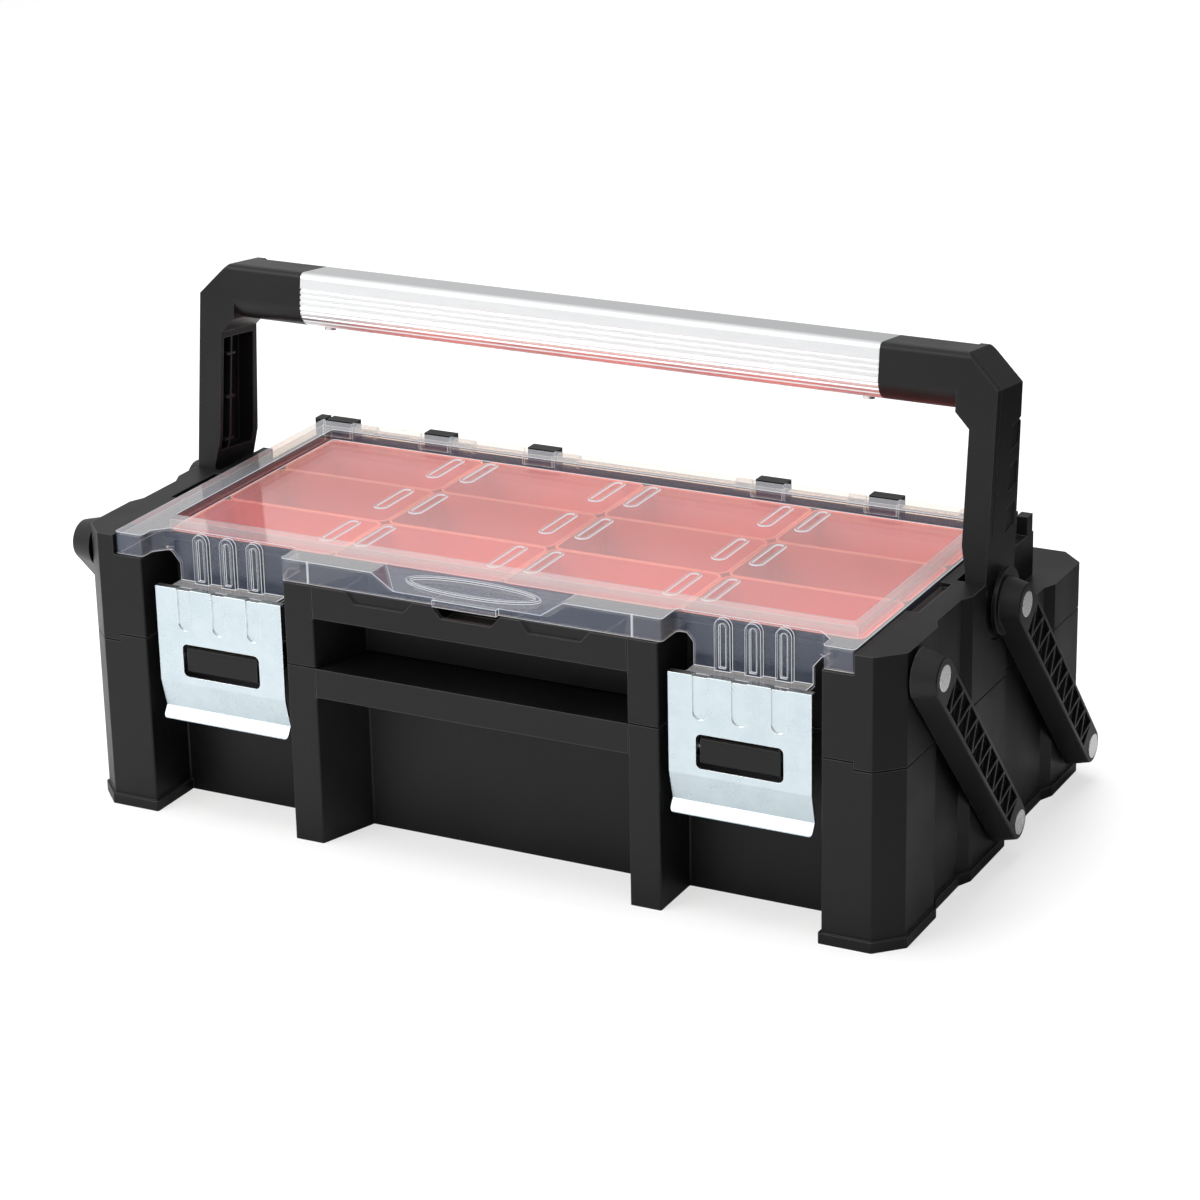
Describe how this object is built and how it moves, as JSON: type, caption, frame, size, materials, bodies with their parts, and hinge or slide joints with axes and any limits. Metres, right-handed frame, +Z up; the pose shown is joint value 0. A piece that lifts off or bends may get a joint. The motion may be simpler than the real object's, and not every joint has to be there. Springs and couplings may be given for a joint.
{
  "type": "compartment storage box",
  "caption": "Cantilever storage box: clear lidded organiser tray with lift-out bins on link arms over a deep base, plate latches and a folding bar handle.",
  "frame": {"origin": "centre of the footprint on the ground", "axes": "+X to the box's right along its length, +Y to its back, +Z up"},
  "size_m": [0.567, 0.307, 0.3063],
  "materials": {
    "base_black": "fine grained black polypropylene",
    "tray_black": "fine grained black polypropylene",
    "bin_red": "smooth red polypropylene",
    "lid_clear": "clear moulded plastic",
    "tube_aluminium": "satin extruded aluminium",
    "latch_steel": "bright coated sheet steel",
    "rivet_steel": "bright turned steel",
    "arm_black": "fine grained black nylon",
    "screw_steel": "zinc plated steel"
  },
  "bodies": {
    "base": {"base_tub": "base_black", "latch_pin_left": "rivet_steel", "latch_pin_right": "rivet_steel"},
    "front_arm_right": {"link_arm_front_right": "arm_black", "link_rivets_front_right": "rivet_steel"},
    "front_arm_left": {"link_arm_front_left": "arm_black", "link_rivets_front_left": "rivet_steel"},
    "rear_arm_right": {"link_arm_rear_right": "arm_black", "link_rivets_rear_right": "rivet_steel"},
    "rear_arm_left": {"link_arm_rear_left": "arm_black", "link_rivets_rear_left": "rivet_steel"},
    "tray": {"tray_frame": "tray_black", "lid_hinge_rod": "rivet_steel", "bin_row1_column1": "bin_red", "bin_row1_column2": "bin_red", "bin_row1_column3": "bin_red", "bin_row1_column4": "bin_red", "bin_row2_column1": "bin_red", "bin_row2_column2": "bin_red", "bin_row2_column3": "bin_red", "bin_row2_column4": "bin_red", "bin_row3_column1": "bin_red", "bin_row3_column2": "bin_red", "bin_row3_column3": "bin_red", "bin_row3_column4": "bin_red"},
    "lid": {"lid": "lid_clear"},
    "handle": {"handle_corner_left": "arm_black", "handle_corner_right": "arm_black", "handle_tube": "tube_aluminium", "handle_screws": "screw_steel"},
    "latch_left": {"latch_plate_left": "latch_steel"},
    "latch_right": {"latch_plate_right": "latch_steel"}
  },
  "joints": [
    {"name": "tray_swing", "type": "hinge", "parent": "base", "child": "front_arm_right", "pos_m": [0.27585, -0.001, 0.0241], "axis": [-1, 0, 0], "range_deg": [0, 82.9]},
    {"name": "tray_level", "type": "hinge", "parent": "front_arm_right", "child": "tray", "pos_m": [0.27585, -0.1238, 0.1595], "axis": [-1, 0, 0], "range_deg": [-83.9, 1]},
    {"name": "front_left_follow", "type": "hinge", "parent": "base", "child": "front_arm_left", "pos_m": [-0.27585, -0.001, 0.0241], "axis": [-1, 0, 0], "range_deg": [-1, 83.9]},
    {"name": "rear_right_follow", "type": "hinge", "parent": "base", "child": "rear_arm_right", "pos_m": [0.27585, 0.1255, 0.0241], "axis": [-1, 0, 0], "range_deg": [-1, 83.9]},
    {"name": "rear_left_follow", "type": "hinge", "parent": "base", "child": "rear_arm_left", "pos_m": [-0.27585, 0.1255, 0.0241], "axis": [-1, 0, 0], "range_deg": [-1, 83.9]},
    {"name": "lid_hinge", "type": "hinge", "parent": "tray", "child": "lid", "pos_m": [0, 0.098, 0.1715], "axis": [-1, 0, 0], "range_deg": [0, 40]},
    {"name": "handle_fold", "type": "hinge", "parent": "tray", "child": "handle", "pos_m": [0, 0.0027, 0.1595], "axis": [-1, 0, 0], "range_deg": [0, 80]},
    {"name": "latch_left_tilt", "type": "hinge", "parent": "base", "child": "latch_left", "pos_m": [-0.171, -0.14, 0.102], "axis": [1, 0, 0], "range_deg": [0, 35]},
    {"name": "latch_right_tilt", "type": "hinge", "parent": "base", "child": "latch_right", "pos_m": [0.171, -0.14, 0.102], "axis": [1, 0, 0], "range_deg": [0, 35]}
  ],
  "couplings": [
    {"joint": "tray_level", "follows": "tray_swing", "ratio": -1},
    {"joint": "front_left_follow", "follows": "tray_swing", "ratio": 1},
    {"joint": "rear_right_follow", "follows": "tray_swing", "ratio": 1},
    {"joint": "rear_left_follow", "follows": "tray_swing", "ratio": 1}
  ]
}
